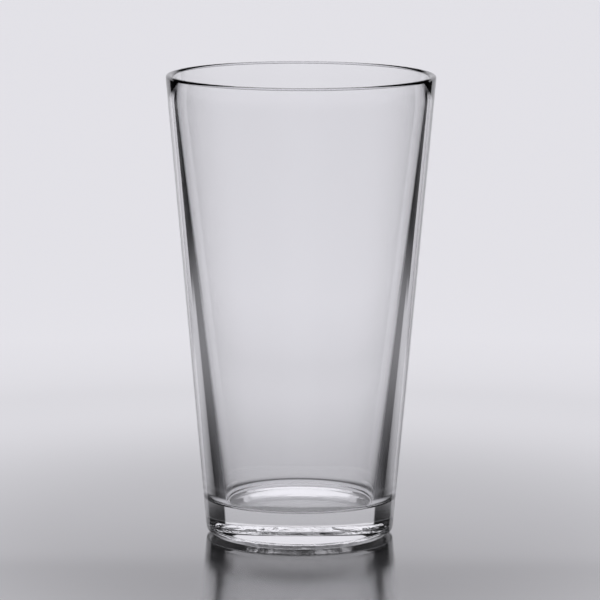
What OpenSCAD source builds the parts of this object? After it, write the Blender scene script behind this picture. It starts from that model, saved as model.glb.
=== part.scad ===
// Conical pint tumbler of pressed soda-lime glass, one continuous piece.
// The origin is the middle of the bearing ring, on the surface that the glass stands on, and +Z is up.

/* [Outside] */
// Height from the table to the top of the rim
height = 151; // [130:1:170]
// Diameter that the straight outer wall has at the height of the rim
rim_d = 88; // [82:0.5:94]
// Diameter that the straight outer wall has at the table
foot_d = 61; // [56:0.5:68]
// Radius of the gentle curve at the heel, between the outer wall and the foot chamfer
heel_r = 5.5; // [4:0.5:7]
// Angle that the heel curve turns inwards
heel_turn = 15; // [10:1:18]
// Height of the foot chamfer, from the bearing ring to the heel curve
chamfer_rise = 1.5; // [1:0.1:2]
// Width of the foot chamfer, measured level
chamfer_run = 1.95; // [1.4:0.05:2.4]

/* [Wall] */
// Thickness of the wall at the rim, measured level
rim_wall = 2.4; // [2:0.1:3.4]
// Height of the rounded lip above the straight walls
lip_rise = 0.85; // [0.6:0.05:1.4]
// Thickness of the wall at the inner floor, measured level
low_wall = 6.9; // [5:0.1:8]

/* [Inner floor] */
// Height of the edge of the inner floor above the table
floor_z = 11.3; // [9:0.1:16]
// Radius of the slight curve at the bottom of the inner wall, above the fillet
ease_r = 14; // [8:1:18]
// Angle that this curve turns inwards
ease_turn = 7; // [3:1:10]
// Radius of the fillet between the inner wall and the inner floor
floor_fillet_r = 1.6; // [1.2:0.1:3]
// Depth that the middle of the inner floor dips below its edge
floor_dip = 0.5; // [0.2:0.1:1]

/* [Underside] */
// Width of the flat bearing ring, from the foot chamfer inwards
bearing_w = 3.2; // [2.6:0.2:5]
// Height of the small sloped step from the bearing ring up to the edge of the punt
step_h = 0.15; // [0.1:0.05:0.3]
// Height of the middle of the concave punt above the table
punt_h = 0.4; // [0.4:0.1:1.2]

/* [Knurled foot edge] */
// Number of small notches round the outer edge of the bearing ring
notch_count = 96; // [48:12:120]
// Depth of each notch into the bearing ring
notch_depth = 0.3; // [0.15:0.05:0.4]
// Length of each notch on the flat of the bearing ring
notch_run = 1.6; // [0.8:0.2:2.4]

/* [Hidden] */

rim_r = rim_d / 2;
foot_r = foot_d / 2;
// Lean of the outer wall from upright, in degrees
outer_lean = atan((rim_r - foot_r) / height);
function outer_r(z) = foot_r + z * tan(outer_lean);

// The inner wall is a straight cone too, thinner towards the rim
inner_rim_r = rim_r - rim_wall;
inner_low_r = outer_r(floor_z) - low_wall;
inner_lean = atan((inner_rim_r - inner_low_r) / (height - floor_z));
function inner_r(z) = inner_rim_r - (height - z) * tan(inner_lean);

// The heel is an arc that touches the outer wall and ends at the top of the foot chamfer
heel_end = outer_lean + heel_turn;
heel_top_z = chamfer_rise + heel_r * (sin(heel_end) - sin(outer_lean));
heel = [outer_r(heel_top_z) - heel_r * cos(outer_lean), heel_top_z + heel_r * sin(outer_lean)];
bearing_out_r = heel[0] + heel_r * cos(heel_end) - chamfer_run;

// The lip is half an ellipse that joins the two walls
lip_z = height - lip_rise;
lip_half = (outer_r(lip_z) - inner_r(lip_z)) / 2;
lip = [outer_r(lip_z) - lip_half, lip_z];

// The inner wall curves inwards slightly, and then the fillet runs on from it to the inner floor
ease_end = inner_lean + ease_turn;
ease_top_z = floor_z + floor_fillet_r * (1 - sin(ease_end)) + ease_r * (sin(ease_end) - sin(inner_lean));
ease = [inner_r(ease_top_z) - ease_r * cos(inner_lean), ease_top_z + ease_r * sin(inner_lean)];
fillet = [ease[0] + (ease_r - floor_fillet_r) * cos(ease_end), floor_z + floor_fillet_r];

// The bearing ring, the step inside it and the rim of the punt
bearing_in_r = bearing_out_r - bearing_w;
step_w = 1;
punt_r = bearing_in_r - step_w;

// The dips in the inner floor and in the punt are shallow spherical caps of these radii
function cap_r(half_width, rise) = (half_width * half_width + rise * rise) / (2 * rise);
floor_cap_r = cap_r(fillet[0], floor_dip);
punt_rise = punt_h - step_h;
punt_cap_r = cap_r(punt_r, punt_rise);
floor_cap_angle = asin(fillet[0] / floor_cap_r);
punt_cap_angle = asin(punt_r / punt_cap_r);

arc_steps = 10;
round_fn = 180;
// The fillet begins where the curve above it ends, so its first point is one step further on
fillet_step = (90 - ease_end) / arc_steps;

// Points on an arc about a centre, from one angle to another in degrees, as wide and as high as the two radii
function arc(centre, wide, high, from, to) = [
    for (i = [0:arc_steps])
    let (angle = from + (to - from) * i / arc_steps)
    centre + [wide * cos(angle), high * sin(angle)]
];
function round_arc(centre, radius, from, to) = arc(centre, radius, radius, from, to);

// Half of the section, as radius and height, from the middle of the punt round to the inner floor
section = concat(
    round_arc([0, punt_h - punt_cap_r], punt_cap_r, 90, 90 - punt_cap_angle),
    [[bearing_in_r, 0], [bearing_out_r, 0]],
    round_arc(heel, heel_r, -heel_end, -outer_lean),
    arc(lip, lip_half, lip_rise, 0, 180),
    round_arc(ease, ease_r, -inner_lean, -ease_end),
    round_arc(fillet, floor_fillet_r, -ease_end - fillet_step, -90),
    round_arc([0, floor_z - floor_dip + floor_cap_r], floor_cap_r, -90 + floor_cap_angle, -90)
);

// V-shaped notches that cross the outer part of the bearing ring and run out at the foot chamfer
module knurling() {
    start_r = bearing_out_r - notch_run;
    for (i = [0:notch_count - 1])
        rotate([0, 0, 360 * i / notch_count])
            translate([start_r, 0, 0])
                rotate([0, 90, 0])
                    cylinder(h = foot_r - start_r, r = notch_depth, $fn = 4);
}

module tumbler() {
    color([0.86, 0.89, 0.9, 0.45])
        difference() {
            rotate_extrude($fn = round_fn)
                polygon(section);
            knurling();
        }
}

tumbler();
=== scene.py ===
import math

import bpy
import numpy as np
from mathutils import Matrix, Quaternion, Vector


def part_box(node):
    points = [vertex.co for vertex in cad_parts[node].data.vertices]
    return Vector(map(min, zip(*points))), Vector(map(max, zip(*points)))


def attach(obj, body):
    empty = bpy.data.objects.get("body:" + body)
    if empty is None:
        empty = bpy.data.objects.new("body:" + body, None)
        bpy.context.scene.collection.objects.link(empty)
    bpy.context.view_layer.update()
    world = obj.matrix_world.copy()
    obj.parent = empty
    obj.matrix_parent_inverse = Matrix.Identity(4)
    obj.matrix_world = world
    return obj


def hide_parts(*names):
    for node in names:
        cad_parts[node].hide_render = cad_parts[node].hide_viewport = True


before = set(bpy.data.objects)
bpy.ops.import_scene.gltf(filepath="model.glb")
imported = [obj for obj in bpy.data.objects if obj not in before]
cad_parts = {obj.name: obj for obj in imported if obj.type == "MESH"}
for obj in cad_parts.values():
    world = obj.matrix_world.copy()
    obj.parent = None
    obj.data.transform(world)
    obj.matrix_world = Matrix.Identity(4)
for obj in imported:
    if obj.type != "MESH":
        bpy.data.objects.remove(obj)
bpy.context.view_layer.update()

MM = 0.001
DEG = math.pi / 180

# ---------------------------------------------------------------- shape of the glass, in metres
cad_low, cad_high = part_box("tumbler")
HEIGHT = cad_high[2] - cad_low[2]
# Radius that the straight outer wall has at the height of the rim. It is 0.025 mm less than in the CAD, so
# that the round rim stays inside the box of the CAD's mesh, which has flat facets.
RIM_R = 43.975 * MM
# Radius that the straight outer wall has at the table
FOOT_R = 30.5 * MM
# Thickness of the wall at the rim and at the inner floor, measured level
RIM_WALL = 2.4 * MM
LOW_WALL = 6.9 * MM
# Height of the rounded lip above the straight walls
LIP_RISE = 0.85 * MM
# Height of the edge of the inner floor, and how far the middle dips below it
FLOOR_Z = 11.3 * MM
FLOOR_DIP = 0.5 * MM
# The slight curve at the bottom of the inner wall, and the fillet that runs on from it to the floor
EASE_R = 14.0 * MM
EASE_TURN = 7.0 * DEG
FILLET_R = 1.6 * MM
# The gentle curve at the heel, and the chamfer below it
HEEL_R = 5.5 * MM
HEEL_TURN = 15.0 * DEG
CHAMFER_RISE = 1.5 * MM
CHAMFER_RUN = 1.95 * MM
# The flat ring that the glass stands on, the small slope inside it, and the height of the middle of the punt
BEARING_W = 3.2 * MM
STEP_H = 0.15 * MM
STEP_W = 1.0 * MM
PUNT_H = 0.4 * MM

# Number of points in one turn, and number of steps along each stretch of the section
SIDES = 576
STEPS = {
    "under": 16,
    "step": 4,
    "bearing": 6,
    "chamfer": 12,
    "heel": 9,
    "outside": 22,
    "rim": 16,
    "inside": 22,
    "ease": 7,
    "low": 9,
    "floor": 20,
}

# Waves round the glass, each as (fewest in one turn, most in one turn, random seed)
FINE_EDGE = (40, 170, 11)
COARSE_EDGE = (9, 30, 12)
CHAMFER_DENTS = (50, 190, 20)
INSIDE_WAVES = (2, 5, 31)
FLOOR_WAVES = (2, 4, 41)
# Height of the weakest wave before scaling, where the strongest can be 1
WEAKEST_WAVE = 0.4
# Size of the unevenness: ragged edge above the chamfer, dents in the chamfer, inner wall, floor and underside
RAGGED_H = 0.28 * MM
DENT_H = 0.012 * MM
INSIDE_H = 0.03 * MM
RIPPLE_H = 0.02 * MM
# Taken off the raggedness, which is never negative, so that the edge goes below its even height too
RAGGED_LOW = 0.3
# Distance from a crest to a hollow of the round ripples in the floor and the underside
RIPPLE_W = 3.1 * MM
# The ripples fade towards the axis and towards this share of the foot's radius
RIPPLE_REACH = 1.1

outer_lean = math.atan((RIM_R - FOOT_R) / HEIGHT)


def outer_r(z):
    """Radius of the straight outer wall at a height."""
    return FOOT_R + z * math.tan(outer_lean)


inner_rim_r = RIM_R - RIM_WALL
inner_low_r = outer_r(FLOOR_Z) - LOW_WALL
inner_lean = math.atan((inner_rim_r - inner_low_r) / (HEIGHT - FLOOR_Z))


def inner_r(z):
    """Radius of the straight inner wall at a height."""
    return inner_rim_r - (HEIGHT - z) * math.tan(inner_lean)


def arc(centre, radius, start, end, steps, rise=None):
    """Points on an arc of the section, as (radius, height), from one angle to another.

    With rise, the arc is part of an ellipse, and rise is its half height."""
    rise = radius if rise is None else rise
    angles = np.linspace(start, end, steps + 1)
    return [(centre[0] + radius * math.cos(a), centre[1] + rise * math.sin(a)) for a in angles]


def line(start, end, steps):
    """Points between two ends, without the ends."""
    shares = np.linspace(0, 1, steps + 1)[1:-1]
    across = end[0] - start[0]
    climb = end[1] - start[1]
    return [(start[0] + across * share, start[1] + climb * share) for share in shares]


def cap_radius(half_width, rise):
    """Radius of the sphere that a shallow cap is cut from."""
    return (half_width**2 + rise**2) / (2 * rise)


def section():
    """Half of the glass's section, from the middle of the punt round the outside to the middle of the floor.

    Each point is (radius, height, name of its part). The two points on the axis itself are left out."""
    up = math.pi / 2
    down = -math.pi / 2

    # the heel is a gentle curve, with a chamfer from its lower end down to the bearing ring
    heel_end = outer_lean + HEEL_TURN
    heel_top = CHAMFER_RISE + HEEL_R * (math.sin(heel_end) - math.sin(outer_lean))
    heel_centre = (
        outer_r(heel_top) - HEEL_R * math.cos(outer_lean),
        heel_top + HEEL_R * math.sin(outer_lean),
    )
    heel = arc(heel_centre, HEEL_R, -heel_end, -outer_lean, STEPS["heel"])
    edge = heel[0]
    bearing_out = edge[0] - CHAMFER_RUN
    bearing_in = bearing_out - BEARING_W

    # the punt is a shallow cap inside the step
    punt_r = bearing_in - STEP_W
    punt_cap = cap_radius(punt_r, PUNT_H - STEP_H)
    punt_half = math.asin(punt_r / punt_cap)

    # the lip is half an ellipse on top of the two walls
    lip_z = HEIGHT - LIP_RISE
    lip_half = (outer_r(lip_z) - inner_r(lip_z)) / 2
    lip = (outer_r(lip_z) - lip_half, lip_z)

    # the inner wall eases inwards before the small fillet at the floor
    ease_end = inner_lean + EASE_TURN
    fillet_top = FLOOR_Z + FILLET_R * (1 - math.sin(ease_end))
    ease_top = fillet_top + EASE_R * (math.sin(ease_end) - math.sin(inner_lean))
    ease_centre = (
        inner_r(ease_top) - EASE_R * math.cos(inner_lean),
        ease_top + EASE_R * math.sin(inner_lean),
    )
    ease = arc(ease_centre, EASE_R, -inner_lean, -ease_end, STEPS["ease"])
    fillet = (ease[-1][0] - FILLET_R * math.cos(ease_end), FLOOR_Z + FILLET_R)
    floor_cap = cap_radius(fillet[0], FLOOR_DIP)
    floor_half = math.asin(fillet[0] / floor_cap)
    floor_centre = (0, FLOOR_Z - FLOOR_DIP + floor_cap)

    under = arc((0, PUNT_H - punt_cap), punt_cap, up, up - punt_half, STEPS["under"])[1:]
    step = line((punt_r, STEP_H), (bearing_in, 0), STEPS["step"]) + [(bearing_in, 0.0)]
    bearing = line((bearing_in, 0), (bearing_out, 0), STEPS["bearing"]) + [(bearing_out, 0.0)]
    rim = arc(lip, lip_half, 0, math.pi, STEPS["rim"], LIP_RISE)
    stretches = (
        ("under", under),
        ("step", step),
        ("bearing", bearing),
        ("chamfer", line((bearing_out, 0), edge, STEPS["chamfer"])),
        ("edge", [edge]),
        ("heel", heel[1:]),
        ("outside", line(heel[-1], rim[0], STEPS["outside"])),
        ("rim", rim),
        ("inside", line(rim[-1], ease[0], STEPS["inside"])),
        ("ease", ease),
        ("low", arc(fillet, FILLET_R, -ease_end, down, STEPS["low"])[1:]),
        ("floor", arc(floor_centre, floor_cap, down + floor_half, down, STEPS["floor"])[1:-1]),
    )
    return [(r, z, name) for name, points in stretches for r, z in points]


def wobble(turns, fewest, most, seed):
    """Repeatable uneven waves round the glass, mostly between -1 and 1."""
    random = np.random.default_rng(seed)
    waves = np.arange(fewest, most + 1)
    size = random.uniform(WEAKEST_WAVE, 1.0, len(waves))
    phase = random.uniform(0, 2 * math.pi, len(waves))
    total = (size[:, None] * np.cos(waves[:, None] * turns + phase[:, None])).sum(axis=0)
    # scaled to a root mean square of one half
    return total / math.sqrt((size**2).sum() / 2) / 2


def roughen(names, turns, radius, z):
    """Make the moulded details uneven. Each ring of the arrays radius and z is changed by its part's name."""
    fine = np.abs(wobble(turns, *FINE_EDGE))
    coarse = np.abs(wobble(turns, *COARSE_EDGE))
    ragged = ((fine + coarse) / 2 - RAGGED_LOW) * RAGGED_H
    fewest, most, seed = CHAMFER_DENTS
    for ring, name in enumerate(names):
        if name == "edge":
            z[ring] += ragged
        elif name == "chamfer":
            # the raggedness of the edge runs out down the chamfer, which has small dents of its own
            dents = np.abs(wobble(turns, fewest, most, seed + ring)) * DENT_H
            z[ring] += z[ring] / CHAMFER_RISE * ragged + dents
        elif name == "inside":
            radius[ring] += wobble(turns, *INSIDE_WAVES) * INSIDE_H
        elif name in ("floor", "under"):
            out = radius[ring] / FOOT_R
            ripple = np.cos(radius[ring] / RIPPLE_W * math.pi) + wobble(turns, *FLOOR_WAVES)
            z[ring] += ripple * RIPPLE_H * out * (RIPPLE_REACH - out)


def lathe_faces(rings):
    """Faces between the rings of points, and a fan from each end ring to its point on the axis."""
    faces = []
    for ring in range(rings - 1):
        for side in range(SIDES):
            here = ring * SIDES + side
            after = ring * SIDES + (side + 1) % SIDES
            faces.append((here, after, after + SIDES, here + SIDES))
    punt_middle = rings * SIDES
    floor_middle = punt_middle + 1
    last = (rings - 1) * SIDES
    for side in range(SIDES):
        after = (side + 1) % SIDES
        faces.append((punt_middle, after, side))
        faces.append((floor_middle, last + side, last + after))
    return faces


def glass_mesh():
    """The tumbler as one closed surface, turned from its section, with uneven moulded details."""
    radii, heights, names = zip(*section())
    turns = np.arange(SIDES) * 2 * math.pi / SIDES
    radius = np.repeat(np.array(radii)[:, None], SIDES, axis=1)
    z = np.repeat(np.array(heights)[:, None], SIDES, axis=1)
    roughen(names, turns, radius, z)

    x = radius * np.sin(turns)
    y = -radius * np.cos(turns)
    on_axis = [[0, 0, PUNT_H], [0, 0, FLOOR_Z - FLOOR_DIP]]
    verts = np.vstack([np.stack([x, y, z], axis=2).reshape(-1, 3), on_axis])
    mesh = bpy.data.meshes.new("tumbler_glass")
    mesh.from_pydata(verts.tolist(), [], lathe_faces(len(names)))
    mesh.polygons.foreach_set("use_smooth", [True] * len(mesh.polygons))
    mesh.update()
    return mesh


# ---------------------------------------------------------------- shader nodes
class Graph:
    """A node tree, emptied first, with short ways to add the nodes that the looks need.

    A range is (start, end, result at the start, result at the end), and the result changes smoothly."""

    def __init__(self, tree):
        self.nodes = tree.nodes
        self.links = tree.links
        self.nodes.clear()

    def add(self, kind, inputs=None):
        """A new node. Its inputs are given by name or number, as values or as other nodes' outputs."""
        node = self.nodes.new(kind)
        for key, source in (inputs or {}).items():
            if isinstance(source, bpy.types.NodeSocket):
                self.links.new(source, node.inputs[key])
            else:
                node.inputs[key].default_value = source
        return node

    def calculate(self, operation, first, second=0.0):
        """One operation on two values. Those that need one value leave the second unused."""
        node = self.add("ShaderNodeMath", {0: first, 1: second})
        node.operation = operation
        return node.outputs[0]

    def times(self, first, second):
        return self.calculate("MULTIPLY", first, second)

    def plus(self, first, second):
        return self.calculate("ADD", first, second)

    def minus(self, first, second):
        return self.calculate("SUBTRACT", first, second)

    def smooth(self, value, limits):
        """The result of a range for a value."""
        start, end, at_start, at_end = limits
        node = self.nodes.new("ShaderNodeMapRange")
        node.interpolation_type = "SMOOTHSTEP"
        self.links.new(value, node.inputs["Value"])
        node.inputs["From Min"].default_value = start
        node.inputs["From Max"].default_value = end
        node.inputs["To Min"].default_value = at_start
        node.inputs["To Max"].default_value = at_end
        return node.outputs["Result"]

    def distance(self, position, place):
        """Distance of a position from a fixed place."""
        node = self.add("ShaderNodeVectorMath", {0: position, 1: place})
        node.operation = "DISTANCE"
        return node.outputs["Value"]

    def noise(self, position, scale, detail):
        """Smooth noise from 0 to 1 at a position."""
        inputs = {"Vector": position, "Scale": scale, "Detail": detail}
        return self.add("ShaderNodeTexNoise", inputs).outputs["Fac"]

    def split(self, vector):
        """The X, Y and Z of a vector."""
        return self.add("ShaderNodeSeparateXYZ", {0: vector}).outputs

    def turn_from_back(self, x, y):
        """Angle about the Z axis from +Y, which is behind the glass. Left and right count the same."""
        return self.calculate("ARCTAN2", self.calculate("ABSOLUTE", x), y)

    def colour(self, value, shares):
        """A colour that has a share of one value in each channel."""
        channels = {name: self.times(value, share) for name, share in zip(("Red", "Green", "Blue"), shares)}
        return self.add("ShaderNodeCombineColor", channels).outputs[0]


def new_material(name):
    """An empty material and its node graph."""
    material = bpy.data.materials.new(name)
    material.use_nodes = True
    return material, Graph(material.node_tree)


# ---------------------------------------------------------------- look of the glass
GLASS_TINT = (0.985, 0.985, 0.99, 1)
GLASS_IOR = 1.52
# Faint smudges over the whole glass, as the roughness by the noise
SMUDGE_SCALE = 45
SMUDGE_DETAIL = 4
SMUDGES = (0.55, 0.8, 0.0, 0.012)
# Fine scuffs, as the roughness by the noise, and how much of them there is by the height above the table
SCUFF_SCALE = 900
SCUFF_DETAIL = 2
SCUFFS = (0.5, 0.7, 0.0, 0.10)
SCUFFED_HEIGHT = (0.05 * MM, 0.25 * MM, 1.0, 0.0)


def glass_material():
    """Clear glass with faint smudges, and light scuffs where it stands on the table."""
    material, graph = new_material("clear_pressed_glass")
    position = graph.add("ShaderNodeTexCoord").outputs["Object"]
    smudged = graph.smooth(graph.noise(position, SMUDGE_SCALE, SMUDGE_DETAIL), SMUDGES)
    scuffed = graph.smooth(graph.noise(position, SCUFF_SCALE, SCUFF_DETAIL), SCUFFS)
    standing = graph.smooth(graph.split(position)["Z"], SCUFFED_HEIGHT)
    look = {
        "Base Color": GLASS_TINT,
        "Transmission Weight": 1,
        "IOR": GLASS_IOR,
        "Roughness": graph.plus(smudged, graph.times(scuffed, standing)),
    }
    shader = graph.add("ShaderNodeBsdfPrincipled", look)
    graph.add("ShaderNodeOutputMaterial", {"Surface": shader.outputs[0]})
    return material


# ---------------------------------------------------------------- light
# Colour of the light, also used for the table's painted glow
LIGHT_TINT = (0.985, 0.975, 1.03)
BACKDROP = 0.80
# Brightness of the backdrop by the turn from the back, where its side edge is
BACKDROP_SIDE = (39.5 * DEG, 41.5 * DEG, BACKDROP, 0.0)
# By the rise above the horizon: how far the side edge draws in, how much brighter the backdrop gets, and
# where its top is
BACKDROP_NARROWING = (7 * DEG, 15 * DEG, 0.0, 7 * DEG)
BACKDROP_LIFT = (8 * DEG, 12 * DEG, 1.0, 1.04)
BACKDROP_TOP = (15 * DEG, 19 * DEG, 1.0, 0.03)
# Brightness of the room beside the glass and what it gains in front, by the turn from the back, and where
# its top is, by the rise
ROOM_SIDE = (66 * DEG, 112 * DEG, 0.0, 0.30)
ROOM_FRONT = (112 * DEG, 180 * DEG, 0.0, 0.12)
ROOM_TOP = (12 * DEG, 24 * DEG, 1.0, 0.02)
# Brightness overhead by the rise
OVERHEAD = (53 * DEG, 56 * DEG, 0.004, 1.0)


def studio_light():
    """A bright low backdrop behind the glass, dark at its sides, then a dim room, and a light overhead."""
    world = bpy.data.worlds.new("studio")
    bpy.context.scene.world = world
    world.use_nodes = True
    graph = Graph(world.node_tree)
    direction = graph.split(graph.add("ShaderNodeTexCoord").outputs["Generated"])
    turn = graph.turn_from_back(direction["X"], direction["Y"])
    rise = graph.calculate("ARCSINE", direction["Z"])

    spread = graph.plus(turn, graph.smooth(rise, BACKDROP_NARROWING))
    height = graph.times(graph.smooth(rise, BACKDROP_TOP), graph.smooth(rise, BACKDROP_LIFT))
    backdrop = graph.times(graph.smooth(spread, BACKDROP_SIDE), height)
    room = graph.plus(graph.smooth(turn, ROOM_SIDE), graph.smooth(turn, ROOM_FRONT))
    low = graph.plus(backdrop, graph.times(room, graph.smooth(rise, ROOM_TOP)))
    total = graph.plus(low, graph.smooth(rise, OVERHEAD))

    look = {"Color": graph.colour(total, LIGHT_TINT), "Strength": 1.0}
    light = graph.add("ShaderNodeBackground", look)
    graph.add("ShaderNodeOutputWorld", {"Surface": light.outputs[0]})


# ---------------------------------------------------------------- table
# Radii of the rings of the round table, and how far it is below the glass so that they don't touch
TABLE_RINGS = (0.15, 0.4, 1.0, 2.5, 9.0)
TABLE_SIDES = 128
TABLE_GAP = 0.02 * MM
TABLE_COLOUR = (0.78, 0.78, 0.80)

# By how level the view is, from 0 straight down to 1 along the table: the share of gloss over the matt
# colour, and the painted glow that is seen from above, light that the table gives out though it is no lamp
GLOSS_SHARE = (0.55, 0.72, 0.12, 0.98)
STEEP_GLOW = (0.50, 0.68, 0.34, 0.0)
# Painted shading of the reflection: its brightness by the distance from a place in front of the glass
FRONT_PLACE = (0, -0.105, 0)
MIRROR_NEAR = (0.0, 0.21, 0.46, 0.64)
# By the distance from the middle of the foot: the painted light that the reflection gains far away, and the
# share of it that is left under the glass, a painted shadow
MIRROR_FAR = (0.265, 0.405, 0.0, 0.34)
MIRROR_UNDER = (0.022, 0.0275, 0.6, 1.0)
# Two patches of painted shade darken the reflection behind the glass, left and right: where they start and
# end by the turn from the back, and the share of the reflection that they take away by the distance from the
# middle of the foot
PATCH_START = (32.0 * DEG, 33.5 * DEG, 0.0, 1.0)
PATCH_END = (56 * DEG, 70 * DEG, 0.0, 1.0)
PATCH_REACH = (0.27, 0.34, 0.0, 0.99)
# A pale painted glow round the glass, light given out by the table, by the distance from the middle of the
# foot, as its rise and then its fall
PAINTED_GLOW_RISE = (0.075, 0.23, 0.0, 0.2)
PAINTED_GLOW_FALL = (0.28, 0.40, 0.0, 0.2)
# Painted shadow under the glass: the share of the matt colour and of the painted glow from above that is
# left under the glass, by the same distance
PAINTED_SHADOW_UNDER = (0.020, 0.0285, 0.55, 1.0)
# Roughness of the gloss by Y, blurred in front of the glass
GLOSS_BLUR = (-0.060, -0.020, 0.16, 0.07)


def table_mesh():
    """A flat disc as rings of faces about one point in the middle."""
    turns = np.arange(TABLE_SIDES) * 2 * math.pi / TABLE_SIDES
    verts = [(0, 0, 0)]
    for radius in TABLE_RINGS:
        verts += [(radius * math.sin(turn), radius * math.cos(turn), 0) for turn in turns]
    faces = []
    for side in range(TABLE_SIDES):
        after = (side + 1) % TABLE_SIDES
        faces.append((0, 1 + after, 1 + side))
        for ring in range(len(TABLE_RINGS) - 1):
            inner = 1 + ring * TABLE_SIDES
            outer = inner + TABLE_SIDES
            faces.append((inner + side, inner + after, outer + after, outer + side))
    mesh = bpy.data.meshes.new("table")
    mesh.from_pydata(verts, [], faces)
    mesh.update()
    return mesh


def table_material():
    """A pale table, glossy at low angles and matt from above, with a painted glow round the glass, a painted
    shadow under it, and painted shade in its reflection.
    """
    material, graph = new_material("glossy_table")
    position = graph.add("ShaderNodeNewGeometry").outputs["Position"]
    place = graph.split(position)
    from_foot = graph.distance(position, (0, 0, 0))
    turn = graph.turn_from_back(place["X"], place["Y"])
    level_view = graph.add("ShaderNodeLayerWeight", {"Blend": 0.5}).outputs["Facing"]
    gloss_share = graph.smooth(level_view, GLOSS_SHARE)
    # painted shadow under the glass, which darkens the matt colour and the glow from above
    outside_painted_shadow = graph.smooth(from_foot, PAINTED_SHADOW_UNDER)

    # the reflection, with painted shade: darker near the front, under the glass and in two patches behind it,
    # and painted light far away
    near = graph.smooth(graph.distance(position, FRONT_PLACE), MIRROR_NEAR)
    bare = graph.plus(near, graph.smooth(from_foot, MIRROR_FAR))
    bare = graph.times(bare, graph.smooth(from_foot, MIRROR_UNDER))
    # two patches of painted shade in the reflection behind the glass
    painted_dark_patch = graph.minus(graph.smooth(turn, PATCH_START), graph.smooth(turn, PATCH_END))
    painted_dark_patch = graph.times(painted_dark_patch, graph.smooth(from_foot, PATCH_REACH))
    mirror = graph.times(bare, graph.minus(1.0, painted_dark_patch))

    # the painted glow: light given out by the table in a ring round the glass and when seen from above
    painted_glow_ring = graph.minus(graph.smooth(from_foot, PAINTED_GLOW_RISE), graph.smooth(from_foot, PAINTED_GLOW_FALL))
    shallow = graph.times(painted_glow_ring, gloss_share)
    steep = graph.times(graph.smooth(level_view, STEEP_GLOW), outside_painted_shadow)

    # the matt colour, darkened under the glass by the painted shadow
    matt = graph.add("ShaderNodeBsdfDiffuse", {"Color": graph.colour(outside_painted_shadow, TABLE_COLOUR)})
    # the gloss colour carries the painted shade and painted light of the reflection
    shine = {"Color": graph.colour(mirror, (1, 1, 1)), "Roughness": graph.smooth(place["Y"], GLOSS_BLUR)}
    gloss = graph.add("ShaderNodeBsdfGlossy", shine)
    mix = graph.add("ShaderNodeMixShader", {0: gloss_share, 1: matt.outputs[0], 2: gloss.outputs[0]})
    # the table glows as painted light, though it is no lamp
    light = {"Color": (*LIGHT_TINT, 1), "Strength": graph.plus(shallow, steep)}
    glow = graph.add("ShaderNodeEmission", light)
    both = graph.add("ShaderNodeAddShader", {0: mix.outputs[0], 1: glow.outputs[0]})
    graph.add("ShaderNodeOutputMaterial", {"Surface": both.outputs[0]})
    return material


def table_piece():
    """The table, which is only for the picture."""
    table = bpy.data.objects.new("table", table_mesh())
    table.location.z = cad_low[2] - TABLE_GAP
    table.data.materials.append(table_material())
    bpy.context.collection.objects.link(table)


# ---------------------------------------------------------------- camera
CAMERA_PLACE = Vector((0, -1.42, 0.2973))
CAMERA_AIM = Vector((-0.00012, 0, 0.077))
CAMERA_ROLL = 0.18 * DEG
# Lens and sensor in millimetres
LENS = 264
SENSOR = 36
# Nearest and farthest distance that is drawn
NEAREST = 0.05
FARTHEST = 20


def camera():
    """A long lens in front of the glass, looking slightly down."""
    data = bpy.data.cameras.new("camera")
    data.lens = LENS
    data.sensor_width = SENSOR
    data.clip_start = NEAREST
    data.clip_end = FARTHEST
    view = bpy.data.objects.new("camera", data)
    bpy.context.collection.objects.link(view)
    view.location = CAMERA_PLACE
    towards_aim = (CAMERA_AIM - CAMERA_PLACE).to_track_quat("-Z", "Y")
    view.rotation_mode = "QUATERNION"
    view.rotation_quaternion = towards_aim @ Quaternion((0, 0, 1), CAMERA_ROLL)
    bpy.context.scene.camera = view


# ---------------------------------------------------------------- the scene
# Clear glass needs many bounces, or the light paths through its base end in black
MAX_BOUNCES = 32
GLOSSY_BOUNCES = 16

camera()
studio_light()
table_piece()

glass = bpy.data.objects.new("tumbler_glass", glass_mesh())
bpy.context.collection.objects.link(glass)
glass.data.materials.append(glass_material())
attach(glass, "root")
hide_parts("tumbler")

scene = bpy.context.scene
scene.view_settings.view_transform = "Standard"
scene.cycles.max_bounces = MAX_BOUNCES
scene.cycles.transmission_bounces = MAX_BOUNCES
scene.cycles.glossy_bounces = GLOSSY_BOUNCES
scene.cycles.use_denoising = True
